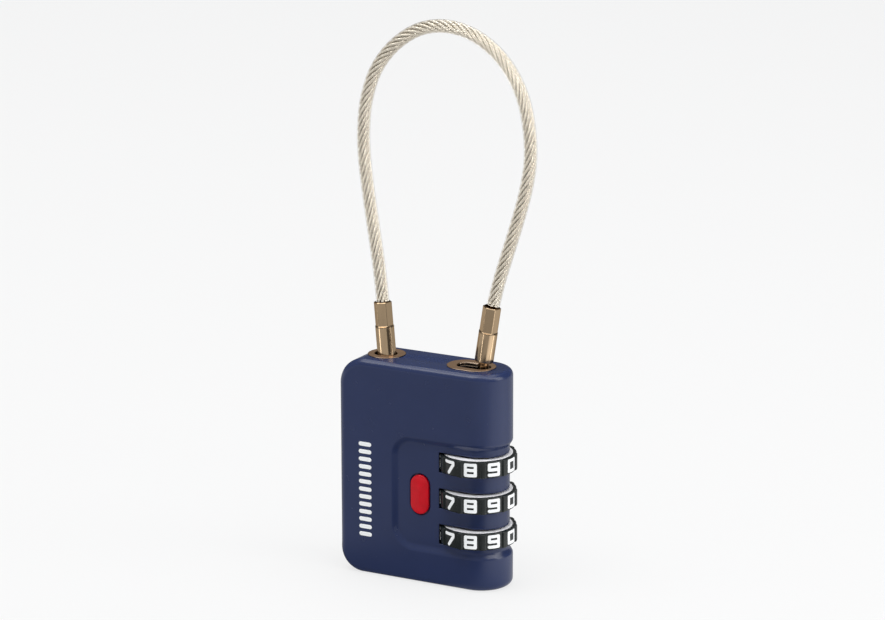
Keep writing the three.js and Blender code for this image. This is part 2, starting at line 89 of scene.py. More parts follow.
ROWS = ("top", "middle", "bottom")
BAND_LOW, BAND_HIGH = box_mm("dial_band_top")
DIAL_X = (BAND_LOW[0] + BAND_HIGH[0]) / 2
DIAL_Z = {row: sum(box_mm(f"dial_band_{row}"))[2] / 2 for row in ROWS}
BAND_HALF = (BAND_HIGH[2] - BAND_LOW[2]) / 2
BAND_RADIUS = BAND_HIGH[0] - DIAL_X  # over the strips between the digits
BAND_CORNER = 0.26
FACE_RADIUS = BAND_RADIUS - 0.29  # at the sides of a digit face
FACE_CROWN = 0.1
FACE_SHARE = 0.34  # of a digit's step, from the middle of its face to the side
STRIP = {"start": 0.345, "fade": 0.08}  # the raised strip, as a share of a digit's step from its middle
CORE_RADIUS = box_mm("dial_core_top")[1][0] - DIAL_X
BAND_BORE = CORE_RADIUS + 0.12
CORE_HALF = 1.6
CORE_BORE = 2.55
CORE_RIM = {"inner": 4.2, "outer": 4.85, "high": 0.5}
SLOT_RADIUS = BAND_RADIUS + 0.12
SLOT_HALF = 1.95
SLOT_EDGE = 0.08
DIGITS = 10
DIGIT_STEP = 360 / DIGITS
FIRST_DIGIT = 89.0  # degrees from the front towards the dials' end, where each dial shows 0

KEY = {"x": -9.3, "plug": 2.5, "low": 0.3, "high": 14.6, "way_half": 0.5, "way_tall": 1.9, "way_high": 12.6}
WAFER = {"count": 4, "first": 3.4, "pitch": 2.4, "thick": 1, "half": 1.5}
SCREW_X = (-3.6, 4.6)
SCREW = {"head": 1.6, "low": 0.15, "seat": 0.95, "shank": 0.75, "tip": 4.5,
         "drive_half": 1, "drive_wide": 0.22, "drive_deep": 0.6}
PLUNGER_PROFILE = [(0, 0.62, 0), (0.55, 0.55, 0.1), (0.85, 0.4, 0.08), (1.15, 0.4, 0.12),
                   (1.15, 2.85, 0.1), (0, 2.85, 0)]  # radius, height and rounding of each corner
PLUNGER_HOLE = 1.35
COVER_THICK = 1.6

LEFT_LEG = {"x": -9.33, "tilt": -4.76}
RIGHT_LEG = {"x": 11.2, "tilt": 9.2}
POST_PLATE = box_mm("post_plate")
PIN_PLATE = box_mm("pin_plate")
PLATE_RADIUS = POST_PLATE[1][1]
PLATE_PROUD = 0.14
PLATE_SLEEVE = 0.6  # how much smaller than the flange the sleeve under it is
PLATE_HOLE = 0.44  # how much smaller than the flange the hole in the case is
POST_HOLE = {"x": LEFT_LEG["x"] - 0.2, "reach": 0.34, "radius": 1.83}
POST_ROOM = {"x": LEFT_LEG["x"] + 0.08, "reach": 0.52, "radius": 1.83}  # below the flange
PIN_SLOT = {"x": 9.3, "reach": 1.63, "radius": 1.72}

FITTING = {"radius": 1.775, "flat": 1.515, "turn": 18.0}
FLANGE = box_mm("captive_post")[1][1]
# radius, height above the case along the leg, and rounding of each corner
POST_PROFILE = [(0, -3.6, 0), (FLANGE, -3.6, 0.2), (FLANGE, -2.75, 0.2), (FITTING["radius"], -2.6, 0.1),
                (FITTING["radius"], 5.28, 0.03), (0, 5.28, 0)]
PIN_PROFILE = [(0, -5.6, 0), (0.85, -5.6, 0.2), (1.4, -5.05, 0.15), (1.4, -4.6, 0.15), (0.95, -2.7, 0.3),
               (0.95, 1.32, 0.12), (FITTING["radius"], 1.32, 0.28), (FITTING["radius"], 7.03, 0.03),
               (0, 7.03, 0)]
# the heights at which each crimp starts and ends
CRIMP_SPANS = {"captive": (5.33, 10.15), "pin": (7.08, 12.15)}
CRIMP_MOUTH = {"play": 0.13, "deep": 1.5}
CABLE_RADIUS = 1.25
ROPE = {"wire": 0.1, "reach": 0.54, "strand_lead": -9.8, "wire_lead": 4.9}
SPRING_WIRE = 0.16

# the cable's centre line from the captive post to the locking pin, x and z in metres
ROUTE = [
    (-0.01015, 0.0522), (-0.01055, 0.056), (-0.0113, 0.0615), (-0.01225, 0.0675),
    (-0.0132, 0.0738), (-0.01385, 0.0792), (-0.014, 0.0845), (-0.0133, 0.0905),
    (-0.0111, 0.0964), (-0.0072, 0.1012), (-0.0019, 0.1046), (0.0035, 0.1056),
    (0.009, 0.1046), (0.0138, 0.1018), (0.0174, 0.0978), (0.0197, 0.093),
    (0.0208, 0.0878), (0.021, 0.0824), (0.0201, 0.0768), (0.0183, 0.0704),
    (0.0163, 0.0642), (0.0146, 0.0589), (0.0134, 0.0544),
]


def add_object(name, data):
    thing = bpy.data.objects.new(name, data)
    bpy.context.scene.collection.objects.link(thing)
    return thing


# ---- camera ----
def direction(azimuth, elevation):
    """The unit vector at an azimuth, from the front towards the dials' end, and an elevation, in degrees."""
    turn, lift = math.radians(azimuth), math.radians(elevation)
    return Vector((math.sin(turn) * math.cos(lift), -math.cos(turn) * math.cos(lift), math.sin(lift)))


def make_camera():
    distance, roll = 0.73903, -0.16
    target = Vector((0.00265, 0, 0.0520))
    back = direction(29.07, 14.80)
    data = bpy.data.cameras.new("camera")
    data.sensor_width = 36
    data.lens = 161.77
    data.clip_start = 0.01
    data.clip_end = 100
    camera = add_object("camera", data)
    camera.location = target + back * distance
    camera.rotation_euler = (-back).to_track_quat("-Z", "Y").to_euler()
    camera.rotation_euler.rotate_axis("Z", math.radians(roll))
    bpy.context.scene.camera = camera


make_camera()


# ---- materials ----
def feed(tree, value, socket):
    """Links an output to a socket, or sets the socket to a constant."""
    if isinstance(value, bpy.types.NodeSocket):
        tree.links.new(value, socket)
    else:
        socket.default_value = value


def new_material(name):
    """A material with its tree, its shader and the place on the object as a vector."""
    material = bpy.data.materials.new(name)
    material.use_nodes = True
    tree = material.node_tree
    place = tree.nodes.new("ShaderNodeTexCoord").outputs["Object"]
    return material, tree, tree.nodes["Principled BSDF"], place


def add_noise(tree, place, size_mm, detail=3.0, stretch=(1, 1, 1)):
    """Noise whose features measure about size_mm, drawn out by stretch along each axis."""
    mapping = tree.nodes.new("ShaderNodeMapping")
    mapping.inputs["Scale"].default_value = [1 / s for s in stretch]
    noise = tree.nodes.new("ShaderNodeTexNoise")
    noise.inputs["Scale"].default_value = 1 / (size_mm * MM)
    noise.inputs["Detail"].default_value = detail
    feed(tree, place, mapping.inputs["Vector"])
    feed(tree, mapping.outputs["Vector"], noise.inputs["Vector"])
    return noise.outputs["Fac"]


def colour_ramp(tree, value, stops):
    """The colour that a value has on a ramp, from pairs of position and colour."""
    ramp = tree.nodes.new("ShaderNodeValToRGB")
    elements = ramp.color_ramp.elements
    while len(elements) < len(stops):
        elements.new(0.5)
    for element, (position, colour) in zip(elements, stops):
        element.position = position
        element.color = (*colour, 1)
    feed(tree, value, ramp.inputs["Fac"])
    return ramp.outputs["Color"]


def map_range(tree, value, start, end, low, high, smooth=False):
    """A value that goes from low to high as the given one goes from start to end."""
    node = tree.nodes.new("ShaderNodeMapRange")
    if smooth:
        node.interpolation_type = "SMOOTHSTEP"
    for socket, number in (("From Min", start), ("From Max", end), ("To Min", low), ("To Max", high)):
        node.inputs[socket].default_value = number
    tree.links.new(value, node.inputs["Value"])
    return node.outputs["Result"]


def mix_colours(tree, share, first, second):
    """The first colour where the share is 0 and the second where it is 1."""
    mix = tree.nodes.new("ShaderNodeMix")
    mix.data_type = "RGBA"
    for value, socket in ((share, 0), (first, 6), (second, 7)):
        feed(tree, value, mix.inputs[socket])
    return mix.outputs[2]


def mix_shaders(tree, share, first, second):
    mix = tree.nodes.new("ShaderNodeMixShader")
    for value, socket in ((share, 0), (first, 1), (second, 2)):
        feed(tree, value, mix.inputs[socket])
    return mix.outputs["Shader"]


def finish(name, dark, light, roughness, metallic=0.0, mottle=6.0, grain=0.2, relief=0.004,
           stretch=(1, 1, 1), **fixed):
    """A moulded, painted or metal finish: mottled colour, uneven gloss and a fine surface relief in mm."""
    material, tree, shader, place = new_material(name)
    patches = add_noise(tree, place, mottle, 4.0, stretch)
    feed(tree, colour_ramp(tree, patches, [(0.3, dark), (0.7, light)]), shader.inputs["Base Color"])

    gloss = add_noise(tree, place, mottle * 0.3, 5.0, stretch)
    feed(tree, map_range(tree, gloss, 0, 1, roughness * 0.85, roughness * 1.15), shader.inputs["Roughness"])

    fine = add_noise(tree, place, grain, 2.0, stretch)
    bump = tree.nodes.new("ShaderNodeBump")
    bump.inputs["Strength"].default_value = 1.0
    bump.inputs["Distance"].default_value = relief * MM
    feed(tree, fine, bump.inputs["Height"])
    feed(tree, bump.outputs["Normal"], shader.inputs["Normal"])

    shader.inputs["Metallic"].default_value = metallic
    for socket, value in fixed.items():
        shader.inputs[socket.replace("_", " ")].default_value = value
    return material


def clear_vinyl():
    """Clear vinyl with a slight haze, darker where it is seen edge on: a painted dark reflection along its
    sides.
    """
    material, tree, shader, place = new_material("clear_vinyl")
    haze = add_noise(tree, place, 1.6)
    tint = colour_ramp(tree, haze, [(0, (0.965, 0.935, 0.88)), (1, (1.0, 0.985, 0.96))])
    # painted reflection: the colour turns tan towards the edges seen edge on, standing in for the dark
    # reflection along the cable's sides
    rim = tree.nodes.new("ShaderNodeLayerWeight")
    rim.inputs["Blend"].default_value = 0.5
    edge = map_range(tree, rim.outputs["Facing"], 0.55, 0.9, 0, 1, smooth=True)
    feed(tree, mix_colours(tree, edge, tint, (0.62, 0.54, 0.46, 1)), shader.inputs["Base Color"])
    feed(tree, map_range(tree, haze, 0, 1, 0.03, 0.09), shader.inputs["Roughness"])
    shader.inputs["Transmission Weight"].default_value = 1.0
    shader.inputs["IOR"].default_value = 1.33
    return material


LOOKS = {
    "case_plastic": finish(
        "satin_navy_plastic", (0.0128, 0.0240, 0.082), (0.0150, 0.0272, 0.091), 0.26,
        mottle=9, grain=0.16, relief=0.0015),
    "dial_black": finish(
        "black_dial_plastic", (0.0075, 0.0105, 0.0105), (0.0105, 0.0145, 0.0145), 0.27,
        mottle=4, grain=0.25, relief=0.002, Specular_IOR_Level=0.45),
    "dial_white": finish(
        "white_dial_plastic", (0.88, 0.87, 0.89), (0.95, 0.94, 0.96), 0.42,
        mottle=3, grain=0.2, relief=0.003),
    "digit_paint": finish(
        "white_digit_paint", (0.90, 0.92, 0.93), (0.96, 0.97, 0.98), 0.38,
        mottle=1.5, grain=0.12, relief=0.003),
    "bronze_fittings": finish(
        "antique_bronze", (0.43, 0.312, 0.196), (0.47, 0.345, 0.218), 0.13, 1.0,
        mottle=1.5, grain=0.2, relief=0.0001, stretch=(1, 1, 6),
        Specular_Tint=(0.85, 0.74, 0.62, 1)),
    "bronze_plate": finish(
        "bronze_plate", (0.30, 0.228, 0.168), (0.36, 0.272, 0.205), 0.2, 1.0,
        mottle=1.6, grain=0.12, relief=0.0005, stretch=(5, 1, 1),
        Specular_Tint=(0.63, 0.51, 0.43, 1)),
    "clear_sheath": clear_vinyl(),
    "wire_rope": finish(
        "bright_steel_wire", (0.61, 0.57, 0.50), (0.74, 0.70, 0.625), 0.18, 0.95,
        mottle=0.8, grain=0.08, relief=0.002),
    "badge_enamel": finish(
        "red_enamel", (0.48, 0.0008, 0.008), (0.60, 0.0015, 0.012), 0.14,
        mottle=2, grain=0.5, relief=0.002, Specular_IOR_Level=0.35),
    "zinc": finish(
        "die_cast_zinc", (0.38, 0.39, 0.40), (0.52, 0.53, 0.54), 0.42, 1.0,
        mottle=1.2, grain=0.18, relief=0.008),
    "steel": finish(
        "bright_steel", (0.52, 0.53, 0.55), (0.66, 0.67, 0.69), 0.25, 1.0,
        mottle=1.4, grain=0.15, relief=0.003),
    "brass": finish(
        "machined_brass", (0.55, 0.40, 0.17), (0.68, 0.51, 0.24), 0.28, 1.0,
        mottle=1.3, grain=0.12, relief=0.003, stretch=(1, 1, 0.4)),
}

CAD_LOOKS = {
    "brass": ("dial_cam_", "key_shell"),
    "steel": ("dial_washer_", "reset_spindle", "spindle_clip", "detent_spring", "fence_plate",
              "release_lever", "key_wafer_"),
    "zinc": ("mechanism_frame", "latch_bolt", "key_cam"),
}


def dress_cad_nodes():
    """Gives each CAD node that stays its procedural finish."""
    for name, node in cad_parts.items():
        for look, starts in CAD_LOOKS.items():
            if name.startswith(starts):
                node.data.materials.clear()
                node.data.materials.append(LOOKS[look])


# ---- making meshes ----
def make_piece(name, points, faces, look, body, replaced=(), normals=None, slot=None, sharp=35.0):
    """A Blender mesh from points in millimetres, riding on a body and standing for CAD nodes."""
    mesh = bpy.data.meshes.new(name)
    mesh.from_pydata((np.asarray(points) * MM).tolist(), [], faces)
    if normals is None:
        shape = bmesh.new()
        shape.from_mesh(mesh)
        bmesh.ops.recalc_face_normals(shape, faces=shape.faces)
        shape.to_mesh(mesh)
        shape.free()
    mesh.shade_smooth()
    if normals is None:
        mesh.set_sharp_from_angle(angle=math.radians(sharp))
    else:
        mesh.normals_split_custom_set(normals.tolist())
    mesh.materials.append(LOOKS[look])
    piece = add_object(name, mesh)
    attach(piece, body)
    if replaced:
        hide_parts(*replaced)
    return piece


def grid_faces(rows, columns, wrap_rows, wrap_columns):
    """Quads of a grid of points numbered row by row."""
    row = np.arange(rows if wrap_rows else rows - 1)
    column = np.arange(columns if wrap_columns else columns - 1)
    r, c = np.meshgrid(row, column, indexing="ij")
    r, c = r.ravel(), c.ravel()
    next_row, next_column = (r + 1) % rows, (c + 1) % columns
    quads = [r * columns + c, r * columns + next_column,
             next_row * columns + next_column, next_row * columns + c]
    return np.stack(quads, axis=1)


def joined(parts):
    """Several meshes as one, from pairs of points and faces."""
    starts = np.cumsum([0] + [len(points) for points, _ in parts]).tolist()
    faces = [[n + start for n in face] for (_, faces), start in zip(parts, starts) for face in faces]
    return np.vstack([points for points, _ in parts]), faces


def revolve(profile, sides, ring=False, shape=None):
    """A profile of radius and height pairs turned about +Z. A ring's profile closes on itself; any other
    profile starts and ends on the axis. shape(angle, radius, height) may change the radius."""
    profile = np.array(profile, float)
    angle = np.linspace(0, 2 * np.pi, sides, endpoint=False)
    body = profile if ring else profile[1:-1]
    radius = np.repeat(body[:, :1], sides, axis=1)
    height = np.repeat(body[:, 1:], sides, axis=1)
    around = np.repeat(angle[None], len(body), axis=0)
    if shape:
        radius = shape(around, radius, height)
    points = np.stack([radius * np.cos(around), radius * np.sin(around), height], axis=-1).reshape(-1, 3)
    faces = grid_faces(len(body), sides, ring, True).tolist()
    if not ring:
        first, last = len(points), len(points) + 1
        points = np.vstack([points, [[0, 0, profile[0][1]], [0, 0, profile[-1][1]]]])
        end = (len(body) - 1) * sides
        for n in range(sides):
            following = (n + 1) % sides
            faces.append([first, following, n])
            faces.append([last, end + n, end + following])
    return points, faces


def rounded(corners):
    """A profile with rounded corners, from (radius, height, rounding) triples."""
    steps, points = 5, []
    for n, (r, z, rounding) in enumerate(corners):
        here = np.array([r, z])
        if rounding == 0 or n in (0, len(corners) - 1):
            points.append(here)
            continue
        before = np.array(corners[n - 1][:2]) - here
        after = np.array(corners[n + 1][:2]) - here
        reach_in = here + before / np.linalg.norm(before) * rounding
        reach_out = here + after / np.linalg.norm(after) * rounding
        for t in np.linspace(0, 1, steps):
            points.append((1 - t) ** 2 * reach_in + 2 * t * (1 - t) * here + t ** 2 * reach_out)
    return points


def on_leg(points, leg):
    """Moves points whose +Z runs along a leg of the shackle to their place in the row frame."""
    angle = math.radians(leg["tilt"])
    x, y, z = np.asarray(points).T
    return np.stack([
        x * math.cos(angle) + z * math.sin(angle) + leg["x"],
        y,
        z * math.cos(angle) - x * math.sin(angle) + TOP,
    ], axis=1)


# ---- surfaces from signed distances ----
def smooth_step(t):
    t = np.clip(t, 0, 1)
    return t * t * (3 - 2 * t)


def both(a, b, fillet):
    """The intersection of two solids, with a fillet along the edge where they meet."""
    corner = np.hypot(np.maximum(a + fillet, 0), np.maximum(b + fillet, 0))
    return np.minimum(np.maximum(a, b), -fillet) + corner


def open_box(x, z, left, low, high, low_corner, high_corner):
    """A rectangle in X and Z that runs on beyond the rounded end, with rounded corners at its left."""
    centre_x, centre_z = (left + FAR) / 2, (low + high) / 2
    corner = np.where(z > centre_z, high_corner, low_corner) * (x < centre_x)
    reach_x = np.abs(x - centre_x) - (FAR - left) / 2 + corner
    reach_z = np.abs(z - centre_z) - (high - low) / 2 + corner
    outside = np.hypot(np.maximum(reach_x, 0), np.maximum(reach_z, 0))
    return np.minimum(np.maximum(reach_x, reach_z), 0) + outside - corner


def obround(along, across, reach, radius):
    return np.hypot(np.maximum(np.abs(along) - reach, 0), across) - radius


def slab(v, low, high):
    return np.abs(v - (low + high) / 2) - (high - low) / 2


def gradient(distance, points, reach=1e-3):
    """The outward direction of a distance at each point."""
    slope = np.empty_like(points)
    for axis in range(3):
        ahead, behind = points.copy(), points.copy()
        ahead[:, axis] += reach
        behind[:, axis] -= reach
        slope[:, axis] = distance(*ahead.T) - distance(*behind.T)
    return slope / np.maximum(np.linalg.norm(slope, axis=1, keepdims=True), 1e-12)


def contour(distance, low, high, step):
    """The surface where a signed distance is zero, by dual contouring, which keeps edges crisp."""
    low = np.array(low, float)
    counts = [int(math.ceil((b - a) / step)) + 1 for a, b in zip(low, high)]
    axes = [a + step * np.arange(n) for a, n in zip(low, counts)]
    value = distance(*np.meshgrid(*axes, indexing="ij"))
    owners, points = [], []
    for axis in range(3):
        first, second = [slice(None)] * 3, [slice(None)] * 3
        first[axis], second[axis] = slice(0, -1), slice(1, None)
        v0, v1 = value[tuple(first)], value[tuple(second)]
        # the grid edges along this axis that the surface crosses, and where, by false position
        crossing = (v0 < 0) != (v1 < 0)
        index = np.argwhere(crossing)
        start = low + step * index
        near, far = np.zeros(len(index)), np.ones(len(index))
        value_near, value_far = v0[crossing], v1[crossing]
        for _ in range(4):
            share = near + (far - near) * value_near / (value_near - value_far)
            point = start.copy()
            point[:, axis] += step * share
            found = distance(*point.T)
            same = (found < 0) == (value_near < 0)
            near, value_near = np.where(same, share, near), np.where(same, found, value_near)
            far, value_far = np.where(same, far, share), np.where(same, value_far, found)
        # the four cells round each of those edges
        u, v = (axis + 1) % 3, (axis + 2) % 3
        ring = []
        for du, dv in ((0, 0), (1, 0), (1, 1), (0, 1)):
            cell = index.copy()
            cell[:, u] -= du
            cell[:, v] -= dv
            ring.append(np.ravel_multi_index(cell.T, counts))
        ring = np.stack(ring, axis=1)
        rising = v0[crossing] < 0
        ring[~rising] = ring[~rising][:, ::-1]
        owners.append(ring)
        points.append(point)
    owners, points = np.vstack(owners), np.vstack(points)
    normals = gradient(distance, points)
    # each cell's vertex is the point that best fits the planes at its crossings, held near their middle
    hold = 0.05
    cells, where = np.unique(owners.ravel(), return_inverse=True)
    where = where.ravel()
    repeated_points, repeated_normals = np.repeat(points, 4, axis=0), np.repeat(normals, 4, axis=0)
    hits = np.bincount(where)
    centre = np.stack([np.bincount(where, repeated_points[:, i]) for i in range(3)], axis=1) / hits[:, None]
    offset = np.einsum("ij,ij->i", repeated_normals, repeated_points - centre[where])
    matrix = np.empty((len(cells), 3, 3))
    pull = np.empty((len(cells), 3))
    for i in range(3):
        pull[:, i] = np.bincount(where, repeated_normals[:, i] * offset)
        for j in range(3):
            matrix[:, i, j] = np.bincount(where, repeated_normals[:, i] * repeated_normals[:, j])
    matrix += hold * np.eye(3)
    vertex = centre + np.linalg.solve(matrix, pull[..., None])[..., 0]
    corner = low + step * np.stack(np.unravel_index(cells, counts), axis=1)
    vertex = np.clip(vertex, corner, corner + step)
    return vertex, where.reshape(-1, 4).tolist()


def contoured_piece(name, distance, low, high, step, look, body, replaced=(), keep=1.0, slot=None):
    """A piece whose surface comes from a signed distance. keep is the share of its triangles that stay."""
    points, faces = contour(distance, low, high, step)
    if keep < 1:
        points, faces = thinned(points, faces, keep)
    normals = corner_normals(distance, points, faces)
    make_piece(name, points, faces, look, body, replaced, normals, slot)


def corner_normals(distance, points, faces, share=0.12):
    """A normal for each corner of each face, read a little inside the face, so that edges stay crisp."""
    sizes = np.array([len(face) for face in faces])
    corners = np.array([n for face in faces for n in face])
    owner = np.repeat(np.arange(len(faces)), sizes)
    place = points[corners]
    middle = np.stack([np.bincount(owner, place[:, i]) for i in range(3)], axis=1) / sizes[:, None]
    return gradient(distance, place + share * (middle[owner] - place))


def thinned(points, faces, keep):
    """The same surface with fewer triangles, which go first where it is flat."""
    mesh = bpy.data.meshes.new("draft")
    mesh.from_pydata(points.tolist(), [], faces)
    draft = add_object("draft", mesh)
    modifier = draft.modifiers.new("thin", "DECIMATE")
    modifier.ratio = keep
    result = draft.evaluated_get(bpy.context.evaluated_depsgraph_get()).to_mesh()
    new_points = np.empty(len(result.vertices) * 3, np.float32)
    result.vertices.foreach_get("co", new_points)
    new_faces = [list(p.vertices) for p in result.polygons]
    bpy.data.objects.remove(draft)
    bpy.data.meshes.remove(mesh)
    return new_points.reshape(-1, 3).astype(float), new_faces


# ---- case ----
def side_distance(x, y):
    """The flat front and back and the rounded end by the dials."""
    return np.where(x > END_X, np.hypot(x - END_X, y), np.abs(y)) - HALF_THICK


def case_distance(x, y, z):
    """The hollow case, with its dial panel, dial slots, plate holes and badge seat."""
    left = CASE_LOW[0]
    side = side_distance(x, y)
    panel = open_box(x, z, PANEL["left"], PANEL["low"], PANEL["high"], PANEL["low_corner"],
                     PANEL["high_corner"])
    side_sunk = side + PANEL["depth"] * (1 - smooth_step(panel / PANEL["ramp"] + 0.5))
    outline = open_box(x, z, left, 0, TOP, BASE_CORNER, TOP_CORNER)
    dish = DISH["depth"] * smooth_step(1 - np.abs(y) / DISH["half"])
    dish = dish * smooth_step((x - DISH["left"]) / DISH["fade"])
    dish = dish * smooth_step((DISH["right"] - x) / DISH["fade"])
    outline_dished = outline + dish * (z > TOP / 2)
    upright = smooth_step((left + UPRIGHT["reach"] - x) / UPRIGHT["fade"])
    upright = upright * smooth_step((z - UPRIGHT["end"]) / UPRIGHT["end_fade"])
    upright = upright * smooth_step((TOP - UPRIGHT["end"] - z) / UPRIGHT["end_fade"])
    shell = both(side_sunk, outline_dished, EDGE + (SIDE_EDGE - EDGE) * upright)
    cavity = np.maximum(side + WALL, open_box(x, z, left + WALL, -10, TOP - ROOF, 0, TOP_CORNER - WALL))
    shell = np.maximum(shell, -cavity)
    for row in ROWS:
        slot = np.maximum(np.hypot(x - DIAL_X, y) - SLOT_RADIUS, np.abs(z - DIAL_Z[row]) - SLOT_HALF)
        shell = both(shell, -slot, SLOT_EDGE)
    through_roof = TOP - 4
    for low, high in (POST_PLATE, PIN_PLATE):
        reach = (high[0] - low[0]) / 2 - PLATE_RADIUS
        hole = obround(x - (low[0] + high[0]) / 2, y, reach, PLATE_RADIUS - PLATE_HOLE)
        shell = both(shell, -np.maximum(hole, through_roof - z), 0.1)
    seat = obround(z - BADGE["z"], x - BADGE["x"], BADGE["reach"], BADGE["radius"] + BADGE["margin"])
    return both(shell, -np.maximum(seat, y - PANEL_Y - BADGE["seat"]), 0.15)


def make_case():
    step = 0.18
    margin = 1.0
    contoured_piece("case_shell_fine", case_distance, CASE_LOW - margin, CASE_HIGH + margin, step,
                    "case_plastic", "case", ["case_shell"], keep=0.3)


# ---- base ----
def cover_distance(x, y, z):
    """The closing plate, with its holes for the key plug, the reset plunger and two countersunk screws."""
    inset = WALL + GAP
    plate = both(side_distance(x, y) + inset, slab(z, 0, COVER_THICK), 0.15)
    outline = open_box(x, z, CASE_LOW[0], 0, TOP, BASE_CORNER, TOP_CORNER)
    plate = both(plate, np.maximum(CASE_LOW[0] + inset - x, outline), 0.1)
    holes = [np.hypot(x - KEY["x"], y) - KEY["plug"] - GAP, np.hypot(x - DIAL_X, y) - PLUNGER_HOLE]
    for centre in SCREW_X:
        around = np.hypot(x - centre, y) - GAP
        holes += [around - SCREW["shank"], np.maximum(around - SCREW["head"], z - SCREW["seat"] - GAP)]
    for hole in holes:
        plate = both(plate, -hole, 0.12)
    return plate


def screw_distance(x, y, z):
    """A flat-headed screw with a cross drive."""
    around = np.hypot(x, y)
    head = both(around - SCREW["head"], slab(z, SCREW["low"], SCREW["seat"]), 0.25)
    body = np.minimum(head, np.maximum(around - SCREW["shank"], slab(z, 0.5, SCREW["tip"])))
    half, wide = SCREW["drive_half"], SCREW["drive_wide"]
    blade = np.minimum(np.maximum(np.abs(x) - half, np.abs(y) - wide),
                       np.maximum(np.abs(y) - half, np.abs(x) - wide))
    return both(body, -np.maximum(blade, z - SCREW["drive_deep"]), 0.05)


def plug_distance(x, y, z):
    """The key plug, with its keyway and the slots that its wafers slide in."""
    plug = both(np.hypot(x, y) - KEY["plug"], slab(z, KEY["low"], KEY["high"]), 0.25)
    way = np.maximum(np.abs(x) - KEY["way_half"], np.abs(y) - KEY["way_tall"])
    plug = both(plug, -np.maximum(way, z - KEY["way_high"]), 0.1)
    for n in range(WAFER["count"]):
        low = WAFER["first"] + WAFER["pitch"] * n
        plug = np.maximum(plug, -np.maximum(np.abs(x) - WAFER["half"], slab(z, low, low + WAFER["thick"])))
    return plug


def make_base():
    low = (CASE_LOW[0], -HALF_THICK, -0.4)
    high = (CASE_HIGH[0], HALF_THICK, 2)
    contoured_piece("base_cover_fine", cover_distance, low, high, 0.2, "case_plastic", "case",
                    ["base_cover"], keep=0.5)
    for n, centre in enumerate(SCREW_X, 1):
        contoured_piece(f"base_screw_{n}_fine", lambda x, y, z, c=centre: screw_distance(x - c, y, z),
                        (centre - 2, -2, 0), (centre + 2, 2, 5), 0.1, "steel", "case",
                        [f"base_screw_{n}"])
    contoured_piece("key_plug_fine", lambda x, y, z: plug_distance(x - KEY["x"], y, z),
                    (KEY["x"] - 3, -3, 0), (KEY["x"] + 3, 3, 15), 0.15, "brass", "key_cylinder",
                    ["key_plug"])
    points, faces = revolve(rounded(PLUNGER_PROFILE), 64)
    make_piece("reset_plunger_fine", points + [DIAL_X, 0, 0], faces, "steel", "reset_button",
               ["reset_plunger"])


# ---- top plates ----
def plate_piece(name, box, hole, room):
    """A flanged plate. Its hole is wider under the flange, where what passes through it needs room to tip."""
    low, high = box
    centre = (low[0] + high[0]) / 2
    reach = (high[0] - low[0]) / 2 - PLATE_RADIUS

    def distance(x, y, z):
        flange = both(obround(x - centre, y, reach, PLATE_RADIUS), slab(z, TOP, TOP + PLATE_PROUD), 0.1)
        around = obround(x - centre, y, reach, PLATE_RADIUS - PLATE_SLEEVE)
        sleeve = both(around, slab(z, low[2], TOP + 0.1), 0.1)
        opening = obround(x - hole["x"], y, hole["reach"], hole["radius"])
        under = np.maximum(obround(x - room["x"], y, room["reach"], room["radius"]), z - TOP + 0.05)
        return both(np.minimum(flange, sleeve), -np.minimum(opening, under), 0.22)

    contoured_piece(f"{name}_fine", distance, low - 0.5, high + 0.5, 0.09, "bronze_plate", "case", [name])


# ---- shackle ----
def hexed(low, runout):
    """Six flats with soft corners pressed into a round fitting, with a short run-out at the lower end."""
    def shape(angle, height):
        turned = (np.degrees(angle) - FITTING["turn"] - 30) % 60
        from_middle = np.radians(np.where(turned > 30, turned - 60, turned))
        ramp = smooth_step((low + runout - height) / runout)
        flat = FITTING["flat"] + (FITTING["radius"] - FITTING["flat"]) * ramp
        softness = 40
        sides = [np.abs(np.cos(from_middle + turn)) ** softness for turn in (-np.pi / 3, 0, np.pi / 3)]
        return np.minimum(flat / sum(sides) ** (1 / softness), FITTING["radius"])
    return shape


def make_crimp(end, leg):
    """A hexagonal crimp that ends round where it meets its fitting, with the cable's mouth at the top."""
    radius = FITTING["radius"]
    low, high = CRIMP_SPANS[end]
    mouth = CABLE_RADIUS + CRIMP_MOUTH["play"]
    levels = np.concatenate([np.linspace(low + 0.04, low + 0.26, 10), np.linspace(low + 0.4, high - 0.3, 12)])
    profile = [(0, low), (radius - 0.03, low), (radius, low + 0.03)]
    profile += [(radius, z) for z in levels]
    profile += [(radius, high - 0.14), (radius - 0.1, high - 0.05), (radius - 0.22, high),
                (mouth + 0.06, high), (mouth, high - 0.06)]
    profile += [(r, high - CRIMP_MOUTH["deep"]) for r in (mouth, 0)]
    flats = hexed(low + 0.05, 0.2)

    def shape(angle, given, height):
        outside = given > mouth + 0.08
        pressed = np.minimum(given, flats(angle, height) - (radius - given))
        return np.where(outside, pressed, given)

    points, faces = revolve(profile, 216, shape=shape)
    make_piece(f"{end}_crimp_fine", on_leg(points, leg), faces, "bronze_fittings", "shackle",
               [f"{end}_crimp"], sharp=30)


def make_fittings():
    for node, profile, end, leg in (("captive_post", POST_PROFILE, "captive", LEFT_LEG),
                                    ("locking_pin", PIN_PROFILE, "pin", RIGHT_LEG)):
        points, faces = revolve(rounded(profile), 96)
        make_piece(f"{node}_fine", on_leg(points, leg), faces, "bronze_fittings", "shackle", [node])
        make_crimp(end, leg)


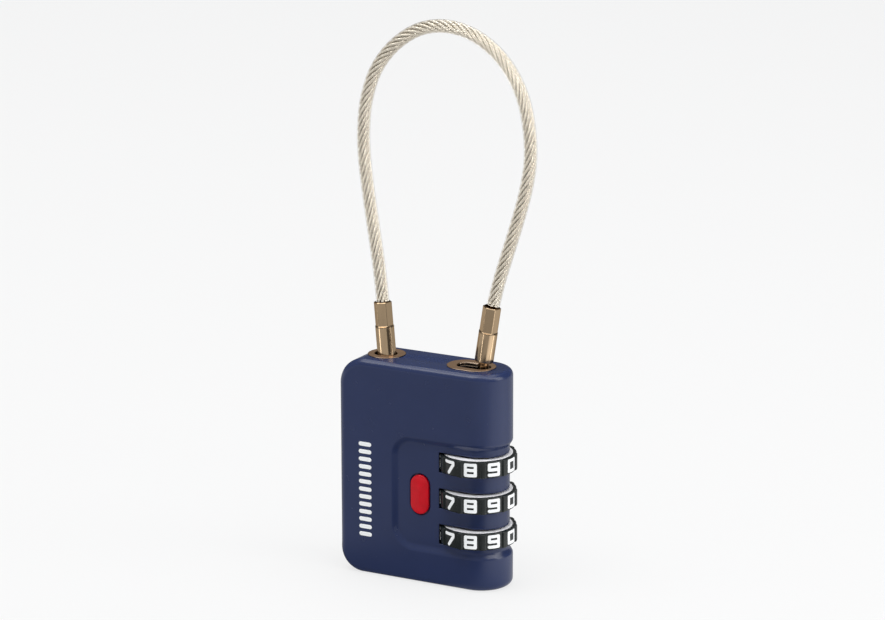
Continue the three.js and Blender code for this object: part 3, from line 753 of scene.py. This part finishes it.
def route_points(step):
    """The cable's centre line at even steps in millimetres: a centripetal Catmull-Rom curve in X and Z."""
    given = np.array(ROUTE) / MM
    padded = np.vstack([2 * given[0] - given[1], given, 2 * given[-1] - given[-2]])
    pieces = []
    for n in range(len(given) - 1):
        p = padded[n:n + 4]
        knots = np.concatenate([[0], np.cumsum(np.linalg.norm(np.diff(p, axis=0), axis=1) ** 0.5)])
        t = np.linspace(knots[1], knots[2], 60, endpoint=False)[:, None]

        def between(a, b, k0, k1):
            return (k1 - t) / (k1 - k0) * a + (t - k0) / (k1 - k0) * b

        a1 = between(p[0], p[1], knots[0], knots[1])
        a2 = between(p[1], p[2], knots[1], knots[2])
        a3 = between(p[2], p[3], knots[2], knots[3])
        b1 = between(a1, a2, knots[0], knots[2])
        b2 = between(a2, a3, knots[1], knots[3])
        pieces.append(between(b1, b2, knots[1], knots[2]))
    dense = np.vstack([*pieces, given[-1:]])
    run = np.concatenate([[0], np.cumsum(np.linalg.norm(np.diff(dense, axis=0), axis=1))])
    even = np.linspace(0, run[-1], int(round(run[-1] / step)) + 1)
    return np.stack([np.interp(even, run, dense[:, i]) for i in (0, 1)], axis=1), even


def cable_frame(step):
    """Centre points, the two directions across the cable, and the run along it."""
    flat, run = route_points(step)
    centre = np.stack([flat[:, 0], np.zeros(len(flat)), flat[:, 1]], axis=1)
    along = np.gradient(centre, axis=0)
    along /= np.linalg.norm(along, axis=1, keepdims=True)
    across = np.tile([0.0, 1.0, 0.0], (len(flat), 1))
    return centre, np.cross(along, across), across, run


def tube(centre, out, across, radius, sides, twist=0.0):
    """A rod with closed ends. radius may differ from side to side, and twist along the rod."""
    angle = np.linspace(0, 2 * np.pi, sides, endpoint=False)[None, :, None]
    angle = angle + np.broadcast_to(twist, len(centre))[:, None, None]
    ring = np.cos(angle) * out[:, None] + np.sin(angle) * across[:, None]
    points = (centre[:, None] + np.broadcast_to(radius, sides)[None, :, None] * ring).reshape(-1, 3)
    faces = grid_faces(len(centre), sides, False, True).tolist()
    last = (len(centre) - 1) * sides
    faces += [list(range(sides)), list(range(last, last + sides))[::-1]]
    return points, faces


def make_rope():
    """Six strands laid round a seventh. Each is one skin over its own six outer wires."""
    strands, sides = 6, 24
    centre, out, across, run = cable_frame(0.25)
    angle = np.linspace(0, 2 * np.pi, sides, endpoint=False)
    from_wire = (angle + np.pi / 6) % (np.pi / 3) - np.pi / 6
    skin = 2 * np.cos(from_wire) + np.sqrt(np.clip(1 - 4 * np.sin(from_wire) ** 2, 0, 1))
    twist = 2 * np.pi * run / ROPE["wire_lead"]
    parts = []
    for strand in range(strands + 1):
        reach = 0 if strand == strands else ROPE["reach"]
        turn = 2 * np.pi * (run / ROPE["strand_lead"] + strand / strands)
        middle = centre + reach * (np.cos(turn)[:, None] * out + np.sin(turn)[:, None] * across)
        parts.append(tube(middle, out, across, ROPE["wire"] * skin, sides, twist))
    return make_piece("cable_rope_strands", *joined(parts), "wire_rope", "shackle", ["cable_rope"], sharp=80)


def make_cable():
    """The rope and the clear vinyl moulded on to it, whose outer surface is the only one that shows."""
    rope = make_rope()
    centre, out, across, _ = cable_frame(0.6)
    sheath = make_piece("cable_sheath_clear", *tube(centre, out, across, CABLE_RADIUS, 48), "clear_sheath",
                        "shackle", ["cable_sheath"], sharp=60)


# ---- springs ----
def make_spring(node, axis, turns):
    """A coil along one axis that fills the box of the CAD node it stands for."""
    low, high = box_mm(node)
    length = high[axis] - low[axis]
    middle = (low + high) / 2
    radius = (high[1] - low[1]) / 2 - SPRING_WIRE
    points_per_turn = 28
    share = np.linspace(0, 1, int(turns * points_per_turn) + 1)[:, None]
    angle = 2 * np.pi * turns * share
    along, first, second = (np.eye(3)[(axis + n) % 3] for n in range(3))
    out = np.cos(angle) * first + np.sin(angle) * second
    rise = low[axis] + SPRING_WIRE + (length - 2 * SPRING_WIRE) * share
    centre = middle * (1 - along) + radius * out + rise * along
    points, faces = tube(centre, out, np.tile(along, (len(share), 1)), SPRING_WIRE, 10)
    spring = make_piece(f"{node}_fine", points, faces, "steel", "case", [node], sharp=60)
    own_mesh(spring)


# ---- dials ----
def band_radius(angle):
    """The band's outline: ten nearly flat digit faces with a narrow raised strip between each two."""
    share = (np.degrees(angle) / DIGIT_STEP + 0.5) % 1 - 0.5
    crown = FACE_CROWN * (1 - (share / FACE_SHARE) ** 2)
    step = smooth_step((np.abs(share) - STRIP["start"]) / STRIP["fade"])
    return (FACE_RADIUS + np.maximum(crown, 0)) * (1 - step) + BAND_RADIUS * step


def dial_piece(name, row, points, faces, look, replaced=(), slot=None, sharp=35.0):
    """A piece of a dial, moved from the dials' axis and middle height to its own row."""
    make_piece(name, points + [DIAL_X, 0, DIAL_Z[row]], faces, look, f"dial_{row}", replaced,
               slot=slot, sharp=sharp)


def make_band(row):
    """The number band. Its profile is in shares of the way from the bore to the outline."""
    inner, flat, corner = 0.12, 0.75, BAND_CORNER
    rest = 1 - flat
    bends = np.linspace(0.2, math.pi / 2, 5)
    profile = [(0.0, -BAND_HALF + 0.1), (inner, -BAND_HALF), (flat, -BAND_HALF)]
    profile += [(flat + rest * math.sin(t), -BAND_HALF + corner * (1 - math.cos(t))) for t in bends]
    profile += [(1.0, BAND_HALF - corner)]
    profile += [(flat + rest * math.cos(t), BAND_HALF - corner * (1 - math.sin(t))) for t in bends]
    profile += [(inner, BAND_HALF), (0.0, BAND_HALF - 0.1)]
    points, faces = revolve(
        profile, 480, ring=True,
        shape=lambda angle, share, _: BAND_BORE + share * (band_radius(angle) - BAND_BORE))
    dial_piece(f"dial_band_{row}_fine", row, points, faces, "dial_black", [f"dial_band_{row}"], sharp=28)


def make_core(row):
    """The white hub: a disc with a low rim, seen between the band and the slot."""
    inner, outer, floor = CORE_RIM["inner"], CORE_RIM["outer"], CORE_HALF - CORE_RIM["high"]
    upper = rounded([(CORE_BORE, 0, 0), (CORE_BORE, floor, 0.1), (inner, floor, 0.2),
                     (outer, CORE_HALF, 0.2), (CORE_RADIUS, CORE_HALF + 0.03, 0.1), (CORE_RADIUS, 0, 0)])
    lower = [(r, -z) for r, z in reversed(upper)]
    middle = [(CORE_RADIUS, 0.5), (CORE_RADIUS, -0.5)]
    points, faces = revolve(upper[:-1] + middle + lower[1:-1], 120, ring=True)
    dial_piece(f"dial_core_{row}_fine", row, points, faces, "dial_white", [f"dial_core_{row}"])


WIDE = 0.95  # from a digit's middle to its side strokes; its foot and head strokes are 1 away
STROKES = {
    0: [(-WIDE, 1), (WIDE, 1), (WIDE, -1), (-WIDE, -1), (-WIDE, 1)],
    1: [(-0.45, 1), (0.2, 1), (0.2, -1)],
    2: [(-WIDE, 1), (WIDE, 1), (WIDE, 0), (-WIDE, 0), (-WIDE, -1), (WIDE, -1)],
    3: [(-WIDE, 1), (WIDE, 1), (WIDE, 0), (-0.3, 0), (WIDE, 0), (WIDE, -1), (-WIDE, -1)],
    4: [(-WIDE, 1), (-WIDE, -0.15), (WIDE, -0.15), (0.55, -0.15), (0.55, 1), (0.55, -1)],
    5: [(WIDE, 1), (-WIDE, 1), (-WIDE, 0), (WIDE, 0), (WIDE, -1), (-WIDE, -1)],
    6: [(0.5, 1), (-WIDE, 1), (-WIDE, -1), (0.5, -1), (0.5, 0), (-WIDE, 0)],
    7: [(-WIDE, 1), (WIDE, 1), (WIDE, 0.55), (-0.1, -1)],
    8: [(-WIDE, 1), (WIDE, 1), (WIDE, -1), (-WIDE, -1), (-WIDE, 1), (-WIDE, 0), (WIDE, 0)],
    9: [(WIDE, 0), (-WIDE, 0), (-WIDE, 1), (WIDE, 1), (WIDE, -1), (-WIDE, -1)],
}
STROKE_HALF = 0.3
DIGIT_PROUD = 0.05


def stroke_distance(u, v, start, end):
    """Distance to a stroke with round ends, in the digit's own plane."""
    along = np.array(end) - np.array(start)
    share = np.clip(((u - start[0]) * along[0] + (v - start[1]) * along[1]) / (along @ along), 0, 1)
    du, dv = u - start[0] - share * along[0], v - start[1] - share * along[1]
    return np.hypot(du, dv) - STROKE_HALF


def digit_distance(digit):
    path = STROKES[digit]

    def distance(u, w, v):
        flat = np.min([stroke_distance(u, v, a, b) for a, b in zip(path, path[1:])], axis=0)
        return both(flat, slab(w, -0.1, DIGIT_PROUD), 0.03)
    return distance


def make_digits(row):
    """Ten raised white digits that follow the band's faces."""
    low, high, step = (-1.6, -0.16, -1.6), (1.6, 0.12, 1.6), 0.07
    parts = []
    for digit in range(DIGITS):
        points, faces = contour(digit_distance(digit), low, high, step)
        u, w, v = points.T
        angle = math.radians(FIRST_DIGIT + digit * DIGIT_STEP) + u / (FACE_RADIUS + FACE_CROWN)
        radius = band_radius(angle - math.pi / 2) + w
        bent = np.stack([radius * np.sin(angle), -radius * np.cos(angle), v], axis=1)
        parts.append((bent, faces))
    dial_piece(f"dial_digits_{row}", row, *joined(parts), "digit_paint", slot="dial_white", sharp=50)


# ---- badge and print ----
def badge_distance(x, y, z):
    """A pill with a bowed face, sunk a little into the dial panel."""
    pill = obround(z - BADGE["z"], x - BADGE["x"], BADGE["reach"], BADGE["radius"])
    front, back = PANEL_Y - BADGE["proud"], PANEL_Y + BADGE["sunk"]
    bow = BADGE["bow"] * np.clip(-pill / BADGE["radius"], 0, 1) ** 0.5
    return both(pill, np.maximum(front - bow - y, y - back), 0.12)


def make_badge():
    low = (BADGE["x"] - 2.4, PANEL_Y - 0.9, BADGE["z"] - 4.4)
    high = (BADGE["x"] + 2.4, PANEL_Y + 0.6, BADGE["z"] + 4.4)
    contoured_piece("badge_pill", badge_distance, low, high, 0.1, "badge_enamel", "case", ["badge"])


def print_distance(x, y, z):
    """A ladder of thin bars with round ends on the front of the case."""
    pitch = (PRINT["high"] - PRINT["low"]) / (PRINT["bars"] - 1)
    n = np.clip(np.round((z - PRINT["low"]) / pitch), 0, PRINT["bars"] - 1)
    radius = PRINT["radius"]
    bar = obround(x - PRINT["x"], z - PRINT["low"] - n * pitch, PRINT["half"] - radius, radius)
    return both(bar, slab(y, -HALF_THICK - PRINT["ink"], -HALF_THICK + 0.1), 0.015)


def make_print():
    low = (PRINT["x"] - 1.7, -HALF_THICK - 0.12, PRINT["low"] - 1)
    high = (PRINT["x"] + 1.7, -HALF_THICK + 0.2, PRINT["high"] + 1)
    contoured_piece("case_print", print_distance, low, high, 0.08, "digit_paint", "case",
                    slot="dial_white", keep=0.4)


# ---- stage ----
def area_light(name, place, target, size, radiance):
    """A soft box whose surface has a given radiance."""
    data = bpy.data.lights.new(name, "AREA")
    data.shape = "RECTANGLE"
    data.size, data.size_y = size
    data.energy = radiance * math.pi * size[0] * size[1]
    light = add_object(name, data)
    light.location = place
    light.rotation_euler = (Vector(target) - Vector(place)).to_track_quat("-Z", "Y").to_euler()
    return light


def combine(tree, operation, first, second):
    """What an operation makes of two values, kept between 0 and 1."""
    node = tree.nodes.new("ShaderNodeMath")
    node.operation = operation
    node.use_clamp = True
    feed(tree, first, node.inputs[0])
    feed(tree, second, node.inputs[1])
    return node.outputs["Value"]


def reflection_only(tree):
    """The kinds of ray, and 1 for a ray that a polished surface reflects and no vinyl lets through."""
    rays = tree.nodes.new("ShaderNodeLightPath").outputs
    return rays, combine(tree, "SUBTRACT", rays["Is Glossy Ray"], rays["Is Transmission Ray"])


# how bright the floor looks in reflections, by distance from the middle in metres and then by direction
# from the front towards the dials' end
GLOW_ZONES = [
    (0.0, [(-90, 0.15), (40, 0.12), (70, 0.5), (94, 0.8), (130, 0.6), (180, 0.15), (262, 0.15)]),
    (0.028, [(-90, 0.65), (-60, 0.55), (-29, 0.46), (-8, 0.32), (8, 0.03), (40, 0.03), (56, 0.9), (72, 1.15),
             (110, 1.2), (135, 0.7), (200, 0.40), (262, 0.62)]),
    (0.088, [(-90, 0.65), (-60, 0.55), (-29, 0.36), (8, 0.52), (50, 0.60), (70, 1.15), (110, 1.2), (135, 0.7),
             (200, 0.45), (262, 0.62)]),
    (0.23, [(-90, 0.75), (20, 0.75), (47, 0.80), (52, 0.0), (82, 0.0), (88, 0.65), (200, 0.60), (262, 0.75)]),
]
GLOW_BLEND = 0.02  # metres over which a zone gives way to the next


def floor_glow(tree, place):
    """Cards laid on the studio floor, which only polished surfaces show."""
    turn = tree.nodes.new("ShaderNodeTexGradient")
    turn.gradient_type = "RADIAL"
    feed(tree, place, turn.inputs["Vector"])
    reach = tree.nodes.new("ShaderNodeVectorMath")
    reach.operation = "LENGTH"
    feed(tree, place, reach.inputs["Vector"])
    half = GLOW_BLEND / 2

    def zone(glow):
        stops = [((azimuth + 90) / 360, [radiance] * 3) for azimuth, radiance in glow]
        return colour_ramp(tree, turn.outputs["Fac"], stops)

    colour = zone(GLOW_ZONES[0][1])
    for start, glow in GLOW_ZONES[1:]:
        share = map_range(tree, reach.outputs["Value"], start - half, start + half, 0, 1, smooth=True)
        colour = mix_colours(tree, share, colour, zone(glow))
    emission = tree.nodes.new("ShaderNodeEmission")
    feed(tree, colour, emission.inputs["Color"])
    return emission.outputs["Emission"]


def make_floor():
    """A pale, evenly lit floor, which polished surfaces see as cards laid round the object."""
    radius, sides = 8.0, 96
    rim = [(radius * math.cos(a), radius * math.sin(a), 0)
           for a in np.linspace(0, 2 * np.pi, sides, endpoint=False)]
    mesh = bpy.data.meshes.new("floor")
    mesh.from_pydata(rim, [], [list(range(sides))])
    floor = add_object("floor", mesh)
    material, tree, shader, place = new_material("pale_floor")
    colour = colour_ramp(tree, add_noise(tree, place, 40), [(0, [0.79] * 3), (1, [0.81] * 3)])
    feed(tree, colour, shader.inputs["Base Color"])
    shader.inputs["Roughness"].default_value = 0.9
    shader.inputs["Specular IOR Level"].default_value = 0.1
    even = tree.nodes.new("ShaderNodeEmission")
    even.inputs["Color"].default_value = (0.915, 0.915, 0.915, 1)
    lit = mix_shaders(tree, 0.8, shader.outputs["BSDF"], even.outputs["Emission"])
    _, reflection = reflection_only(tree)
    whole = mix_shaders(tree, reflection, lit, floor_glow(tree, place))
    feed(tree, whole, tree.nodes["Material Output"].inputs["Surface"])
    mesh.materials.append(material)


def make_world():
    """An even studio: pale to the camera, dimmer as light, and dark at the back in reflections."""
    world = bpy.data.worlds.new("studio")
    world.use_nodes = True
    tree = world.node_tree
    backdrop = tree.nodes["Background"]
    backdrop.inputs["Color"].default_value = (0.94, 0.94, 0.94, 1)

    ambient = tree.nodes.new("ShaderNodeBackground")
    ambient.inputs["Color"].default_value = (0.95, 0.975, 1.0, 1)
    ambient.inputs["Strength"].default_value = 0.45

    reflected = tree.nodes.new("ShaderNodeBackground")
    parts = tree.nodes.new("ShaderNodeSeparateXYZ")
    feed(tree, tree.nodes.new("ShaderNodeTexCoord").outputs["Generated"], parts.inputs["Vector"])
    strength = map_range(tree, parts.outputs["Y"], 0.35, -0.6, 0.17, 0.5, smooth=True)
    feed(tree, strength, reflected.inputs["Strength"])

    rays, reflection = reflection_only(tree)
    surround = mix_shaders(tree, reflection, ambient.outputs["Background"], reflected.outputs["Background"])
    plain_view = combine(tree, "MAXIMUM", rays["Is Camera Ray"], rays["Is Transmission Ray"])
    whole = mix_shaders(tree, plain_view, surround, backdrop.outputs["Background"])
    feed(tree, whole, tree.nodes["World Output"].inputs["Surface"])
    bpy.context.scene.world = world


def make_lights():
    middle = (0, 0, 0.05)
    area_light("overhead", (-0.15, 0.0, 1.3), middle, (1.6, 1.6), 1.9)
    area_light("right_box", (0.70, 0.10, 0.30), middle, (0.35, 0.55), 3.0)
    area_light("key", (-0.28, -0.36, 0.95), middle, (0.50, 0.50), 2.4)
    area_light("end_top", (0.42, -0.12, 0.50), middle, (0.35, 0.35), 2.6)


def hold_cards(group_name, pieces, cards):
    """Cards of light that only some pieces see, in place of what their polish would reflect. A card has an
    azimuth, a rise and a distance from the place that it faces, all in degrees and millimetres."""
    group = bpy.data.collections.new(group_name)
    for name in pieces:
        group.objects.link(bpy.data.objects[name])
    for name, azimuth, rise, distance, centre, size, radiance in cards:
        middle = Vector(centre) * MM
        place = middle + distance * MM * direction(azimuth, rise)
        card = area_light(name, place, middle, (size[0] * MM, size[1] * MM), radiance)
        card.visible_camera = False
        card.light_linking.receiver_collection = group
        card.light_linking.blocker_collection = group


def make_cards():
    left, right = (LEFT_LEG["x"], 0, 50), (RIGHT_LEG["x"], 0, 50)
    hold_cards("left_fitting", ("captive_post_fine", "captive_crimp_fine"), [
        ("left_streak", -42, -14, 80, left, (12, 40), 3.2)])
    hold_cards("right_fitting", ("locking_pin_fine", "pin_crimp_fine"), [
        ("middle_streak", -27, -16, 80, right, (6, 40), 3.2),
        ("right_streak", 102, -26, 70, right, (7, 40), 3.2),
        ("gap_card", 66, -22, 80, right, (60, 40), 0.55)])
    hold_cards("cable", ("cable_sheath_clear", "cable_rope_strands"), [
        ("rope_card", 50, 10, 350, (0, 0, 80), (22, 250), 16.0)])
    hold_cards("top_plates", ("post_plate_fine", "pin_plate_fine"), [
        ("back_card", 209, 18, 140, (0, 0, 50), (150, 90), 0.5)])


make_cable()
make_case()
make_base()
plate_piece("post_plate", POST_PLATE, POST_HOLE, POST_ROOM)
plate_piece("pin_plate", PIN_PLATE, PIN_SLOT, PIN_SLOT)
make_fittings()
make_spring("reset_spring", 2, 3.5)
make_spring("latch_spring", 0, 7)
for row in ROWS:
    make_band(row)
    make_core(row)
    make_digits(row)
make_badge()
make_print()
dress_cad_nodes()
make_floor()
make_world()
make_lights()
make_cards()
bpy.context.scene.view_settings.view_transform = "Standard"
